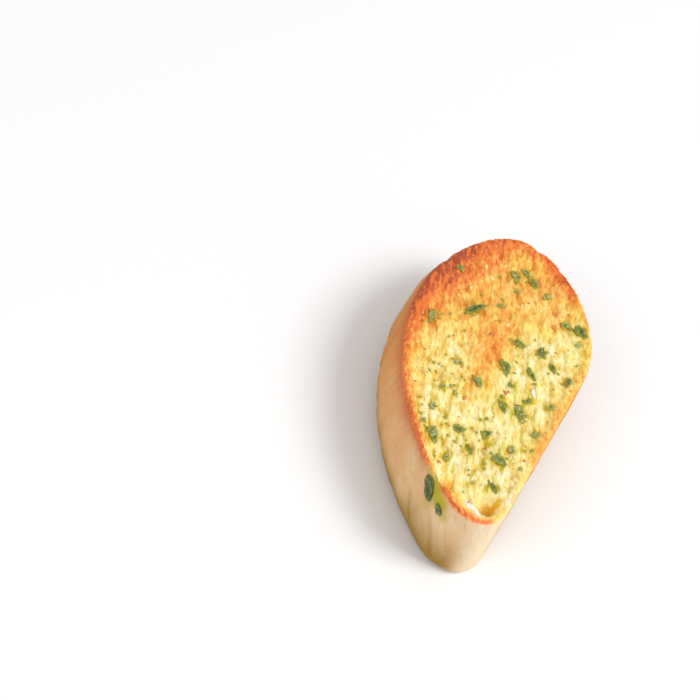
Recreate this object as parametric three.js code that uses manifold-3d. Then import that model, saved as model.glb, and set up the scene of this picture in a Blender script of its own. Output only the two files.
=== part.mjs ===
// A thick slice of garlic bread, cut across a small white loaf. It lies on its plain cut face with the
// toasted and buttered face up. The slice is one solid: the crumb's hollows and the rim's crags are relief
// in it, and the chopped parsley and the bits of garlic that show from a step away are fused to it.
//
// Millimetres, +Z up. X runs across the loaf, +Y from the loaf's flat bottom to the top of its dome, and the
// origin is the middle of the face that the slice rests on.

import * as THREE from "three";
import Module from "manifold-3d";

// ---------------------------------------------------------------- driving dimensions

const LENGTH = 114.2; // across the loaf
const HEIGHT = 60; // from the loaf's flat bottom to the top of its dome
const THICKNESS = 28.5; // as cut from the loaf

const RIM_ROUND = 1.0; // radius of the toasted rim
const BASE_ROUND = 2.6; // radius round the face below
const DOME_BULGE = 3.3; // how far the crust of the dome stands out between the two cut faces
const END_BULGE = 0.8; // the same at the two ends
const BULGE_PEAK = 0.4; // height of the widest place, as a share of the thickness

const LIP_RISE = 0.5; // the hard rim stands above the crumb
const LIP_WIDTH = 2.2;
const END_LIP = { x: -55, y: -18, reach: 12, rise: 0.6 }; // more of it round the narrow end
const CRUMB_SAG = 0.7; // the soft crumb sinks behind the rim
const CRUMB_SAG_REACH = 9;
const CRUMB_UNEVEN = 0.34; // low waves of the torn crumb
const CRUST_UNEVEN = 0.28; // shallow creases of the crust
const CHIP_DENT = 0.7; // how far a chip of the rim dents the crust, as a share of its depth
const GRAIN_TURN = THREE.MathUtils.degToRad(23); // the crumb's hollows are drawn out this way
const GRAIN_STRETCH = 1.6;

const TOP_CELLS = [50, 28]; // facets of the toasted face, along and across
const WALL_STEPS = { rim: 3, crust: 4, base: 2 };

// ---------------------------------------------------------------- small tools

// A seeded draw from 0 to 1, so that every run gives the same slice.
function seededDraw(seed) {
  let state = seed;
  return () => {
    state = (Math.imul(state, 1664525) + 1013904223) >>> 0;
    return state / 2 ** 32;
  };
}

const between = (draw, low, high) => low + (high - low) * draw();

const bump = (distance, radius) => {
  const share = Math.min(1, distance / radius);
  return (1 - share * share) ** 2;
};

// ---------------------------------------------------------------- outline of the loaf

// The loaf's cross-section: a flat bottom, one steep end, a long dome and one rounded, undercut end.
function loafOutline() {
  const right = LENGTH / 2;
  const top = HEIGHT / 2;
  const outline = new THREE.Shape();
  outline.moveTo(13, -top);
  outline.bezierCurveTo(38.5, -top, right, -6, right, 8);
  outline.bezierCurveTo(right, 21, 34, top, 20, top);
  outline.bezierCurveTo(-6, top, -32, 15.5, -49, -5.5);
  outline.bezierCurveTo(-51.8, -9, -right, -14, -right, -20);
  outline.bezierCurveTo(-right, -27.5, -53, -top, -44, -top);
  outline.bezierCurveTo(-25, -top, -6, -top, 13, -top);
  return outline;
}

// Points of the outline by their angle round the middle, each with its outward normal.
function rimTable() {
  const points = loafOutline().getPoints(40);
  points.pop();
  const table = points.map((point, i) => {
    const before = points.at(i - 1);
    const after = points[(i + 1) % points.length];
    const along = after.clone().sub(before).normalize();
    const angle = Math.atan2(point.y / HEIGHT, point.x / LENGTH);
    return { angle, point, normal: new THREE.Vector2(along.y, -along.x) };
  });
  table.sort((a, b) => a.angle - b.angle);
  const first = table[0];
  const last = table.at(-1);
  table.unshift({ ...last, angle: last.angle - 2 * Math.PI });
  table.push({ ...first, angle: first.angle + 2 * Math.PI });
  return table;
}

const RIM = rimTable();

function rimAt(angle) {
  const next = RIM.findIndex((entry) => entry.angle >= angle);
  const high = RIM[Math.max(1, next)];
  const low = RIM[Math.max(1, next) - 1];
  const share = (angle - low.angle) / (high.angle - low.angle);
  return {
    point: low.point.clone().lerp(high.point, share),
    normal: low.normal.clone().lerp(high.normal, share).normalize(),
  };
}

// ---------------------------------------------------------------- relief

// Places where the rim is chipped or dented: x, y, reach, depth.
const RIM_CHIPS = [
  [32.5, 28.3, 3.0, 0.7],
  [57, 5, 3.0, 0.6],
  [-50.8, -7.2, 4.6, 1.2],
  [52, -5.5, 2.6, 0.4],
  [-14, 23.2, 3.0, 0.5],
];

// The deep hollow just behind the lip of the narrow end.
const DEEP_HOLLOW = { x: -49.4, y: -24.0, radius: 3.4, depth: 3.8, stretch: 1.25 };
DEEP_HOLLOW.turn = THREE.MathUtils.degToRad(58);

// The next largest hollows of the crumb: x, y, radius, depth. The first widens the deep one.
const LARGE_HOLLOWS = [
  [-48.2, -22.4, 4.0, 2.0],
  [-36.5, -14.5, 2.6, 1.3],
  [-26.5, -21.0, 2.4, 1.2],
  [-13.5, 10.5, 2.6, 1.1],
  [24.5, 2.0, 2.3, 1.1],
  [3.5, 9.5, 2.2, 1.0],
  [36.5, -10.5, 2.5, 1.2],
  [-2.5, -22.5, 2.2, 1.0],
  [45.5, 14.0, 2.2, 1.0],
];

// Smaller hollows, scattered by a seeded draw over the whole face and kept apart.
function scatterHollows(count) {
  const draw = seededDraw(7);
  const grain = { turn: GRAIN_TURN, stretch: GRAIN_STRETCH };
  const large = LARGE_HOLLOWS.map(([x, y, radius, depth]) => ({ x, y, radius, depth, ...grain }));
  const hollows = [DEEP_HOLLOW, ...large];
  while (hollows.length < count) {
    const angle = between(draw, -Math.PI, Math.PI);
    const reach = Math.sqrt(draw()) * 0.9;
    const { x, y } = rimAt(angle).point.multiplyScalar(reach);
    const radius = between(draw, 1.5, 2.1);
    const depth = between(draw, 0.4, 0.8);
    const free = hollows.every((h) => Math.hypot(h.x - x, h.y - y) > h.radius + radius + 1.2);
    if (free) hollows.push({ x, y, radius, depth, ...grain });
  }
  return hollows;
}

const HOLLOWS = scatterHollows(64);

function hollowDepth(x, y) {
  let depth = 0;
  for (const hollow of HOLLOWS) {
    const dx = x - hollow.x;
    const dy = y - hollow.y;
    const along = (dx * Math.cos(hollow.turn) + dy * Math.sin(hollow.turn)) / hollow.stretch;
    const across = -dx * Math.sin(hollow.turn) + dy * Math.cos(hollow.turn);
    depth = Math.max(depth, hollow.depth * bump(Math.hypot(along, across), hollow.radius));
  }
  return depth;
}

function chipDepth(x, y) {
  const depths = RIM_CHIPS.map(([cx, cy, reach, depth]) => depth * bump(Math.hypot(x - cx, y - cy), reach));
  return Math.max(...depths);
}

function crumbWaves(x, y) {
  const slow = Math.sin(x * 0.21 + 1.3) * Math.cos(y * 0.27 + 0.4);
  const quick = Math.sin(x * 0.83 - y * 0.41) * Math.sin(y * 0.94 + x * 0.36 + 2.1);
  return CRUMB_UNEVEN * (0.6 * slow + 0.5 * quick);
}

// Height of the toasted face at a place, `inward` from the rim.
function faceHeight(x, y, inward) {
  const sag = CRUMB_SAG * THREE.MathUtils.smoothstep(inward, 0, CRUMB_SAG_REACH);
  const endLip = END_LIP.rise * bump(Math.hypot(x - END_LIP.x, y - END_LIP.y), END_LIP.reach);
  const lip = (LIP_RISE + endLip) * Math.exp(-((inward / LIP_WIDTH) ** 2));
  const quiet = THREE.MathUtils.smoothstep(inward, 0, 3);
  return THICKNESS - LIP_RISE + lip - sag + quiet * (crumbWaves(x, y) - hollowDepth(x, y)) - chipDepth(x, y);
}

// How far the crust stands out from the outline at a height, with its creases running through the thickness.
function crustStand(point, normal, height) {
  const share = height / THICKNESS;
  const reach = share < BULGE_PEAK ? BULGE_PEAK : 1 - BULGE_PEAK;
  const swell = 1 - ((share - BULGE_PEAK) / reach) ** 2;
  const dome = DOME_BULGE * Math.max(0, normal.y);
  const ends = END_BULGE * Math.abs(normal.x);
  const around = Math.atan2(point.y, point.x);
  const crease = Math.sin(around * 23 + 0.8 * Math.sin(share * 3)) * Math.sin(around * 7.3 + 1);
  const lowSide = share < BULGE_PEAK ? 0.35 * (BULGE_PEAK - share) * dome : 0;
  return (dome + ends) * swell + lowSide + CRUST_UNEVEN * crease * swell;
}

// ---------------------------------------------------------------- the slice

// Steps down the wall, from the rim's inner edge to the face below: height and how far inside the crust.
function wallSteps() {
  const steps = [];
  for (let i = 1; i <= WALL_STEPS.rim; i++) {
    const turn = (i / WALL_STEPS.rim) * (Math.PI / 2);
    steps.push({ drop: RIM_ROUND * (1 - Math.cos(turn)), inside: RIM_ROUND * (1 - Math.sin(turn)) });
  }
  const straight = THICKNESS - RIM_ROUND - BASE_ROUND;
  for (let i = 1; i <= WALL_STEPS.crust; i++) {
    steps.push({ drop: RIM_ROUND + (straight * i) / WALL_STEPS.crust, inside: 0 });
  }
  for (let i = 1; i <= WALL_STEPS.base; i++) {
    const turn = (i / WALL_STEPS.base) * (Math.PI / 2);
    const drop = THICKNESS - BASE_ROUND * (1 - Math.sin(turn));
    steps.push({ drop, inside: BASE_ROUND * (1 - Math.cos(turn)) });
  }
  return steps;
}

// The toasted face is a grid whose square edge is drawn round onto the rim.
function facePoint(column, row) {
  const u = (2 * column) / TOP_CELLS[0] - 1;
  const v = (2 * row) / TOP_CELLS[1] - 1;
  const disc = new THREE.Vector2(u * Math.sqrt(1 - (v * v) / 2), v * Math.sqrt(1 - (u * u) / 2));
  const { point, normal } = rimAt(disc.angle() > Math.PI ? disc.angle() - 2 * Math.PI : disc.angle());
  const edge = point.clone().addScaledVector(normal, -RIM_ROUND);
  const flat = edge.clone().multiplyScalar(disc.length());
  const inward = (1 - disc.length()) * edge.length();
  return { x: flat.x, y: flat.y, z: faceHeight(flat.x, flat.y, inward), point, normal };
}

// The grid's outer cells in order, counter-clockwise from above.
function rimCells() {
  const [columns, rows] = TOP_CELLS;
  const cells = [];
  for (let c = 0; c < columns; c++) cells.push([c, 0]);
  for (let r = 0; r < rows; r++) cells.push([columns, r]);
  for (let c = columns; c > 0; c--) cells.push([c, rows]);
  for (let r = rows; r > 0; r--) cells.push([0, r]);
  return cells;
}

function sliceBody() {
  const [columns, rows] = TOP_CELLS;
  const vertices = [];
  const triangles = [];
  const index = (c, r) => r * (columns + 1) + c;
  for (let r = 0; r <= rows; r++) {
    for (let c = 0; c <= columns; c++) {
      const { x, y, z } = facePoint(c, r);
      vertices.push(x, y, z);
    }
  }
  for (let r = 0; r < rows; r++) {
    for (let c = 0; c < columns; c++) {
      const [a, b, d, e] = [index(c, r), index(c + 1, r), index(c + 1, r + 1), index(c, r + 1)];
      triangles.push(a, b, d, a, d, e);
    }
  }
  const cells = rimCells();
  let above = cells.map(([c, r]) => index(c, r));
  for (const { drop, inside } of wallSteps()) {
    const ring = cells.map(([c, r]) => {
      const { point, normal, z } = facePoint(c, r);
      const height = Math.max(0, THICKNESS - drop - (THICKNESS - z) * (1 - drop / THICKNESS));
      const dent = CHIP_DENT * chipDepth(point.x, point.y) * (height / THICKNESS) ** 4;
      const out = crustStand(point, normal, height) - inside - dent;
      const place = point.clone().addScaledVector(normal, out);
      vertices.push(place.x, place.y, height);
      return vertices.length / 3 - 1;
    });
    ring.forEach((low, i) => {
      const j = (i + 1) % ring.length;
      triangles.push(above[i], low, ring[j], above[i], ring[j], above[j]);
    });
    above = ring;
  }
  const base = above.map((i) => new THREE.Vector2(vertices[3 * i], vertices[3 * i + 1]));
  for (const [a, b, c] of THREE.ShapeUtils.triangulateShape(base, [])) {
    triangles.push(above[a], above[c], above[b]);
  }
  return { vertices, triangles };
}

// ---------------------------------------------------------------- parsley and garlic

// The parsley that catches the eye, each piece lying where it fell: x, y, length, width, turn in degrees.
const MAIN_PARSLEY = [
  [19, 11.7, 9.0, 2.2, -30],
  [41, 6.6, 5.0, 2.2, -141],
  [44.6, 4.0, 4.0, 2.0, -110],
  [42.4, 0.2, 4.4, 2.0, -133],
  [6.8, 22.0, 6.0, 1.8, -167],
  [32.4, -21.2, 5.8, 3.0, -120],
  [32.6, -15.8, 3.0, 1.8, -51],
  [15.2, -6.5, 4.0, 2.4, -100],
  [16.4, -14.0, 4.4, 2.2, -141],
  [3.2, -6.6, 6.0, 2.8, -140],
  [12.9, -19.6, 3.6, 1.5, -132],
  [6.3, -14.6, 5.2, 1.5, -129],
  [10.9, -26.0, 3.4, 1.5, -157],
  [-7.5, -1.6, 4.8, 1.9, -125],
  [-4.6, -18.0, 3.2, 1.6, -38],
  [-11.6, -12.2, 5.2, 1.6, -134],
  [-10.6, -18.0, 6.8, 2.6, -145],
  [-28.4, -4.6, 3.8, 2.4, -83],
  [-35.2, 1.1, 6.4, 2.8, -141],
  [-24.4, -12.6, 4.0, 2.2, -16],
  [-32.6, -10.4, 4.0, 1.5, -141],
  [-31.0, -19.9, 5.2, 3.0, -110],
  [-41.1, -22.5, 4.0, 1.7, -120],
];

// The two pieces stuck to the crust below the chipped rim: x, y, height, length, width, turn down the wall.
const WALL_PARSLEY = [
  [-50.2, -7.0, 24.0, 8.0, 3.4, -41],
  [-54.4, -12.6, 23.6, 3.8, 2.2, -25],
];

// The garlic that catches the eye: x, y, length, width, turn in degrees.
const MAIN_GARLIC = [
  [-0.3, -18.4, 4.8, 1.6, -150],
  [35.1, 12.8, 2.8, 1.6, -120],
  [-52.3, -21.0, 4.4, 1.3, -115],
];

const SCATTERED_PARSLEY = { count: 14, smallest: 1.8, largest: 2.8, seed: 31 };
const SCATTERED_GARLIC = { count: 9, smallest: 1.6, largest: 2.4, seed: 32 };
const SCATTER_REACH = 0.88; // as a share of the way from the middle to the rim
const SCATTER_GAP = 0.5;
const LEAF_THICKNESS = 0.8;
const LEAF_POINTS = 10;
const GARLIC_HEIGHT = 1.4;

// A torn bit of leaf: a thin wavy solid with a ragged edge, both faces split from the middle alike.
function leaf(length, width, draw) {
  const vertices = [0, 0, LEAF_THICKNESS / 2, 0, 0, -LEAF_THICKNESS / 2];
  const triangles = [];
  for (let i = 0; i < LEAF_POINTS; i++) {
    const turn = (i / LEAF_POINTS) * 2 * Math.PI;
    const lobe = i % 2 ? between(draw, 0.62, 0.8) : between(draw, 0.9, 1.05);
    const x = (length / 2) * lobe * Math.cos(turn);
    const y = (width / 2) * lobe * Math.sin(turn);
    const wave = 0.3 * Math.sin(2 * turn + length);
    vertices.push(x, y, wave + LEAF_THICKNESS / 2, x, y, wave - LEAF_THICKNESS / 2);
  }
  for (let i = 0; i < LEAF_POINTS; i++) {
    const a = 2 + 2 * i;
    const b = 2 + 2 * ((i + 1) % LEAF_POINTS);
    triangles.push(0, a, b, 1, b + 1, a + 1, a, a + 1, b + 1, a, b + 1, b);
  }
  return { vertices, triangles };
}

// A chopped bit of garlic: a lump with uneven corners.
function garlicBit(length, width, draw) {
  const lump = new THREE.IcosahedronGeometry(0.5, 0);
  const place = lump.getAttribute("position");
  const corners = new Map();
  const vertices = [];
  const triangles = [];
  for (let i = 0; i < place.count; i++) {
    const corner = new THREE.Vector3().fromBufferAttribute(place, i);
    const key = corner.toArray().map((value) => value.toFixed(4)).join();
    if (!corners.has(key)) {
      corners.set(key, vertices.length / 3);
      const grow = between(draw, 0.8, 1.2);
      vertices.push(corner.x * grow * length, corner.y * grow * width, corner.z * grow * GARLIC_HEIGHT);
    }
    triangles.push(corners.get(key));
  }
  return { vertices, triangles };
}

// Height of the face at a place anywhere inside the rim.
function heightAt(x, y) {
  const rim = rimAt(Math.atan2(y / HEIGHT, x / LENGTH)).point;
  return faceHeight(x, y, Math.max(0, rim.length() - Math.hypot(x, y) - RIM_ROUND));
}

// Places on the toasted face, well inside the rim and clear of what lies there already, by a seeded draw.
function scatter({ count, smallest, largest, seed }, taken) {
  const draw = seededDraw(seed);
  const spots = [];
  while (spots.length < count) {
    const rim = rimAt(between(draw, -Math.PI, Math.PI)).point;
    const { x, y } = rim.multiplyScalar(Math.sqrt(draw()) * SCATTER_REACH);
    const size = between(draw, smallest, largest);
    const turn = between(draw, 0, 360);
    const gap = (other) => Math.hypot(other.x - x, other.y - y) - other.reach - size / 2;
    if (taken.some((other) => gap(other) < SCATTER_GAP)) continue;
    spots.push([x, y, size, 0.6 * size, turn]);
    taken.push({ x, y, reach: size / 2 });
  }
  return spots;
}

function setOnFace(x, y, turn, draw) {
  const sunk = 0.1;
  const tilt = () => between(draw, -0.08, 0.08);
  const spin = new THREE.Euler(tilt(), tilt(), THREE.MathUtils.degToRad(turn), "ZYX");
  return new THREE.Matrix4()
    .makeRotationFromEuler(spin)
    .setPosition(x, y, heightAt(x, y) + LEAF_THICKNESS / 2 - sunk);
}

// On the wall a leaf's own X runs along the rim, tilted down, and its Z faces outwards.
function setOnWall(x, y, height, turn) {
  const { point, normal } = rimAt(Math.atan2(y / HEIGHT, x / LENGTH));
  const out = new THREE.Vector3(normal.x, normal.y, 0);
  const up = new THREE.Vector3(0, 0, 1);
  const along = up.clone().cross(out);
  const slope = THREE.MathUtils.degToRad(turn);
  const first = along.clone().multiplyScalar(Math.cos(slope)).addScaledVector(up, Math.sin(slope));
  const second = out.clone().cross(first);
  const stand = crustStand(point, normal, height) + LEAF_THICKNESS / 2 - 0.25;
  const place = new THREE.Vector3(point.x, point.y, height).addScaledVector(out, stand);
  return new THREE.Matrix4().makeBasis(first, second, out).setPosition(place);
}

function toppings() {
  const draw = seededDraw(3);
  const taken = [...MAIN_PARSLEY, ...MAIN_GARLIC].map(([x, y, length]) => ({ x, y, reach: length / 2 }));
  const parsley = [...MAIN_PARSLEY, ...scatter(SCATTERED_PARSLEY, taken)];
  const garlic = [...MAIN_GARLIC, ...scatter(SCATTERED_GARLIC, taken)];
  const pieces = [];
  for (const [x, y, length, width, turn] of parsley) {
    pieces.push({ mesh: leaf(length, width, draw), place: setOnFace(x, y, turn, draw) });
  }
  for (const [x, y, length, width, turn] of garlic) {
    pieces.push({ mesh: garlicBit(length, width, draw), place: setOnFace(x, y, turn, draw) });
  }
  for (const [x, y, height, length, width, turn] of WALL_PARSLEY) {
    pieces.push({ mesh: leaf(length, width, draw), place: setOnWall(x, y, height, turn) });
  }
  return pieces;
}

// ---------------------------------------------------------------- joining

const wasm = await Module();
wasm.setup();

function solid({ vertices, triangles }, place = new THREE.Matrix4()) {
  const moved = new THREE.BufferAttribute(new Float32Array(vertices), 3).applyMatrix4(place);
  const triVerts = new Uint32Array(triangles);
  return new wasm.Manifold(new wasm.Mesh({ numProp: 3, vertProperties: moved.array, triVerts }));
}

function garlicBreadSlice() {
  let whole = solid(sliceBody());
  for (const { mesh, place } of toppings()) whole = whole.add(solid(mesh, place));
  const bodies = whole.decompose().sort((a, b) => b.volume() - a.volume());
  const { vertProperties, triVerts } = bodies[0].getMesh();
  const geometry = new THREE.BufferGeometry();
  geometry.setAttribute("position", new THREE.BufferAttribute(new Float32Array(vertProperties), 3));
  geometry.setIndex(new THREE.BufferAttribute(new Uint32Array(triVerts), 1));
  geometry.computeBoundingBox();
  const middle = geometry.boundingBox.getCenter(new THREE.Vector3());
  geometry.translate(-middle.x, -middle.y, 0);
  geometry.computeVertexNormals();
  const toasted = new THREE.MeshStandardMaterial({ color: 0xf2c877, roughness: 0.6, metalness: 0 });
  const mesh = new THREE.Mesh(geometry, toasted);
  mesh.name = "garlic_bread_slice";
  return mesh;
}

const group = new THREE.Group();
group.add(garlicBreadSlice());

export default group;
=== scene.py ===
import math
import random

import bpy
import numpy as np
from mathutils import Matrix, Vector, geometry, noise


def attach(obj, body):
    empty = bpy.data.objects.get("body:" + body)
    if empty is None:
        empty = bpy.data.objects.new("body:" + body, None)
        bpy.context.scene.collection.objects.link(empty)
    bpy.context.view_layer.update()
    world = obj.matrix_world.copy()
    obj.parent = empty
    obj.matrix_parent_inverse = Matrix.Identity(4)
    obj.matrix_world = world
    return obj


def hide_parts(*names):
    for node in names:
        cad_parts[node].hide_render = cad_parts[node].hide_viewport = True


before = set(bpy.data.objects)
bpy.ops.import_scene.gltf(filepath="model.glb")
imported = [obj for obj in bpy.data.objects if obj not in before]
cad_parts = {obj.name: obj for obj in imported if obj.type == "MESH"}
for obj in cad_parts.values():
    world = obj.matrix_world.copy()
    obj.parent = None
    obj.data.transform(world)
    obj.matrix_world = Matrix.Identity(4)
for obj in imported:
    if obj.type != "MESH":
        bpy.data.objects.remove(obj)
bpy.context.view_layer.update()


# ---------------------------------------------------------------- the slice of bread
# A thick slice sawn across a small white loaf: soft white crumb in a thin baked crust. It is
# one piece. The two sawn faces are grids drawn out to the loaf's outline, the crust is the
# rim of the upper one extruded down, and every pore is pressed into the mesh.

mm = 0.001
face_length = 114.2  # millimetres, as are all sizes of the slice below
face_height = 60
thickness = 28.5
outline_middle = (-0.2, 1.48)  # middle of the slice's box, from the middle of its outline

rim_round = 1.0
base_round = 2.6
dome_bulge = 3.3
end_bulge = 0.8
bulge_peak = 0.4
lip_rise = 0.5
lip_width = 2.2
end_lip = (-55, -18, 12, 0.6)  # more of the lip round the narrow end: x, y, reach, rise
crumb_sag = 0.7
crumb_sag_reach = 9
crumb_uneven = 0.34
crust_uneven = 0.28
chip_dent = 0.7
grain_turn = math.radians(23)
hollow_stretch = 1.6
pore_stretch = 2.4

face_cells = (310, 170)
base_cells = (120, 66)
curve_steps = 40  # along each curve of the outline
rim_steps = 5
crust_steps = 24
foot_steps = 4


def loaf_outline():
    """The loaf's cross-section, anticlockwise from the end of its flat bottom."""
    right = face_length / 2
    top = face_height / 2
    curves = [
        ((13, -top), (38.5, -top), (right, -6), (right, 8)),
        ((right, 8), (right, 21), (34, top), (20, top)),
        ((20, top), (-6, top), (-32, 15.5), (-49, -5.5)),
        ((-49, -5.5), (-51.8, -9), (-right, -14), (-right, -20)),
        ((-right, -20), (-right, -27.5), (-53, -top), (-44, -top)),
        ((-44, -top), (-25, -top), (-6, -top), (13, -top)),
    ]
    points = []
    for curve in curves:
        knots = [Vector((x, y, 0)) for x, y in curve]
        points += [tuple(point.xy) for point in geometry.interpolate_bezier(*knots, curve_steps + 1)[:-1]]
    return np.array(points)


outline = loaf_outline()
outline_along = np.roll(outline, -1, axis=0) - np.roll(outline, 1, axis=0)
outline_out = np.stack([outline_along[:, 1], -outline_along[:, 0]], axis=1)
outline_out /= np.linalg.norm(outline_out, axis=1)[:, None]
outline_angle = np.arctan2(outline[:, 1] / face_height, outline[:, 0] / face_length)


def rim_at(angle):
    """Points of the rim and their outward directions, at angles round the middle."""
    table = np.hstack([outline, outline_out])
    x, y, out_x, out_y = [np.interp(angle, outline_angle, column, period=2 * math.pi) for column in table.T]
    size = np.hypot(out_x, out_y)
    return np.stack([x, y], axis=1), np.stack([out_x / size, out_y / size], axis=1)


def read_points(piece):
    points = np.empty(len(piece.data.vertices) * 3)
    piece.data.vertices.foreach_get("co", points)
    return points.reshape(-1, 3)


def write_points(piece, points):
    piece.data.vertices.foreach_set("co", points.ravel())
    piece.data.update()


def add_round_grid(cells):
    """A flat grid, and its points with the square edge drawn round to a circle of radius 1."""
    bpy.ops.object.select_all(action="DESELECT")
    bpy.ops.mesh.primitive_grid_add(x_subdivisions=cells[0], y_subdivisions=cells[1], size=2)
    grid = bpy.context.object
    points = read_points(grid)
    u = points[:, 0].copy()
    v = points[:, 1].copy()
    points[:, 0] = u * np.sqrt(1 - v**2 / 2)
    points[:, 1] = v * np.sqrt(1 - u**2 / 2)
    return grid, points


def add_sawn_face(cells, inset):
    """A round grid drawn out onto the loaf's outline."""
    face, points = add_round_grid(cells)
    x, y = points[:, 0], points[:, 1]
    rim, out = rim_at(np.arctan2(y, x))
    points[:, :2] = (rim - inset * out) * np.hypot(x, y)[:, None]
    write_points(face, points)
    return face


def wall_steps():
    """Steps from the rim down to the face below: how far down and how far inside the crust."""
    steps = []
    for turn in np.linspace(0, math.pi / 2, rim_steps + 1)[1:]:
        steps.append((rim_round * (1 - math.cos(turn)), rim_round * (1 - math.sin(turn))))
    straight = thickness - rim_round - base_round
    for share in np.linspace(0, 1, crust_steps + 1)[1:]:  # closer together near the rim
        steps.append((rim_round + straight * share**2, 0))
    for turn in np.linspace(0, math.pi / 2, foot_steps + 1)[1:]:
        drop = thickness - base_round * (1 - math.sin(turn))
        steps.append((drop, base_round * (1 - math.cos(turn))))
    return steps


bread = add_sawn_face(face_cells, rim_round)
bread.name = "bread"
face_count = len(bread.data.vertices)
ring_count = 2 * (face_cells[0] + face_cells[1])
steps = wall_steps()

bpy.ops.object.mode_set(mode="EDIT")
bpy.ops.mesh.select_mode(type="EDGE")
bpy.ops.mesh.select_all(action="SELECT")
bpy.ops.mesh.region_to_loop()
for _ in steps:
    bpy.ops.mesh.extrude_region_move(TRANSFORM_OT_translate={"value": (0, 0, -1)})
bpy.ops.object.mode_set(mode="OBJECT")

base = add_sawn_face(base_cells, base_round)
base_points = read_points(base)
base_points[:, 2] = -len(steps) - 1
write_points(base, base_points)
bpy.ops.object.mode_set(mode="EDIT")
bpy.ops.mesh.select_all(action="SELECT")
bpy.ops.mesh.flip_normals()
bpy.ops.object.mode_set(mode="OBJECT")

bpy.ops.object.select_all(action="DESELECT")
base.select_set(True)
bread.select_set(True)
bpy.context.view_layer.objects.active = bread
bpy.ops.object.join()
bpy.ops.object.mode_set(mode="EDIT")
bpy.ops.mesh.select_mode(type="EDGE")
bpy.ops.mesh.select_all(action="DESELECT")
bpy.ops.mesh.select_non_manifold(extend=False, use_wire=False, use_multi_face=False,
                                 use_non_contiguous=False, use_verts=False)
bpy.ops.mesh.bridge_edge_loops()
bpy.ops.object.mode_set(mode="OBJECT")

points = read_points(bread)
wall_count = ring_count * len(steps)
on_face = np.arange(len(points)) < face_count
on_base = np.arange(len(points)) >= face_count + wall_count
on_wall = ~on_face & ~on_base


# The relief of the toasted face: a raised hard rim, crumb that sags behind it, chips in the
# rim, large hollows, and thousands of pores.

rim_chips = [  # x, y, reach, depth
    (32.5, 28.3, 3.0, 0.7),
    (57, 5, 3.0, 0.6),
    (-50.8, -7.2, 4.6, 1.2),
    (52, -5.5, 2.6, 0.4),
    (-14, 23.2, 3.0, 0.5),
]
deep_hollow = (-49.4, -24.0, 3.4, 3.8, math.radians(58), 1.25)  # x, y, radius, depth, turn, stretch
hollow_ridge = ((-51.9, -19.0), (-53.8, -23.2))  # the torn crumb between hollow and lip, painted white as a highlight
ridge_width = 0.75
ridge_rise = 0.8
butter_pool = ((-51.0, -24.9), (-44.8, -26.3))  # along the hollow's low side
pool_width = 1.7
pool_end = (-48.9, -24.3, 3.0)  # the pool's wide end: x, y, radius
large_hollows = [  # x, y, radius, depth; the first widens the deep one
    (-48.2, -22.4, 4.0, 2.0),
    (-36.5, -14.5, 2.6, 1.3),
    (-26.5, -21.0, 2.4, 1.2),
    (-13.5, 10.5, 2.6, 1.1),
    (24.5, 2.0, 2.3, 1.1),
    (3.5, 9.5, 2.2, 1.0),
    (36.5, -10.5, 2.5, 1.2),
    (-2.5, -22.5, 2.2, 1.0),
    (45.5, 14.0, 2.2, 1.0),
]
hollow_count = 64
hollow_seed = 7
hollow_reach = 0.9  # as a share of the way from the middle to the rim
hollow_gap = 1.2
small_hollow_radius = (1.5, 2.1)
small_hollow_depth = (0.4, 0.8)
small_pore_kind = (5, 5200, 0.3, 0.8)  # seed, count, smallest and largest radius
open_pore_kind = (6, 420, 0.6, 1.2)
base_pore_kind = (9, 2600, 0.7, 2.2)
pore_depth = (0.4, 0.75)  # as a share of the radius
pore_relief = 0.5
grit_size = 1.1
grit_stretch = 2.4
grit_relief = 0.14


def seeded_draw(seed):
    """Numbers from 0 to 1, by the solid's own rule, so that both put things in the same places."""
    state = seed
    while True:
        state = (state * 1664525 + 1013904223) % 2**32
        yield state / 2**32


def between(draw, low, high):
    return low + (high - low) * next(draw)


def scatter_hollows():
    """The deep hollow, the large ones and smaller ones scattered over the face and kept apart."""
    draw = seeded_draw(hollow_seed)
    found = [deep_hollow] + [(*hollow, grain_turn, hollow_stretch) for hollow in large_hollows]
    while len(found) < hollow_count:
        rim, _ = rim_at(np.array([between(draw, -math.pi, math.pi)]))
        x, y = rim[0] * math.sqrt(next(draw)) * hollow_reach
        radius = between(draw, *small_hollow_radius)
        depth = between(draw, *small_hollow_depth)
        if all(math.hypot(h[0] - x, h[1] - y) > h[2] + radius + hollow_gap for h in found):
            found.append((x, y, radius, depth, grain_turn, hollow_stretch))
    return found


def bump(distance, radius):
    share = np.minimum(1, distance / radius)
    return (1 - share**2) ** 2


def fade(distance, width):
    """1 at no distance, about a third at the width and soon 0 beyond it."""
    return np.exp(-((distance / width) ** 2))


def smoothstep(value, low, high):
    share = np.clip((value - low) / (high - low), 0, 1)
    return share * share * (3 - 2 * share)


def distance_to_line(x, y, start, end):
    along = np.array(end) - np.array(start)
    share = ((x - start[0]) * along[0] + (y - start[1]) * along[1]) / (along @ along)
    share = np.clip(share, 0, 1)
    return np.hypot(x - start[0] - share * along[0], y - start[1] - share * along[1])


def chip_depth(x, y):
    dents = [depth * bump(np.hypot(x - cx, y - cy), reach) for cx, cy, reach, depth in rim_chips]
    return np.max(dents, axis=0)


def along_grain(dx, dy, turn, stretch):
    """Distance that counts less along the grain of the crumb."""
    along = (dx * np.cos(turn) + dy * np.sin(turn)) / stretch
    across = -dx * np.sin(turn) + dy * np.cos(turn)
    return np.hypot(along, across), np.arctan2(across, along)


def distance_to_rim(x, y):
    nearest = np.full(len(x), np.inf)
    for px, py in outline:
        nearest = np.minimum(nearest, (x - px) ** 2 + (y - py) ** 2)
    return np.sqrt(nearest)


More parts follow.
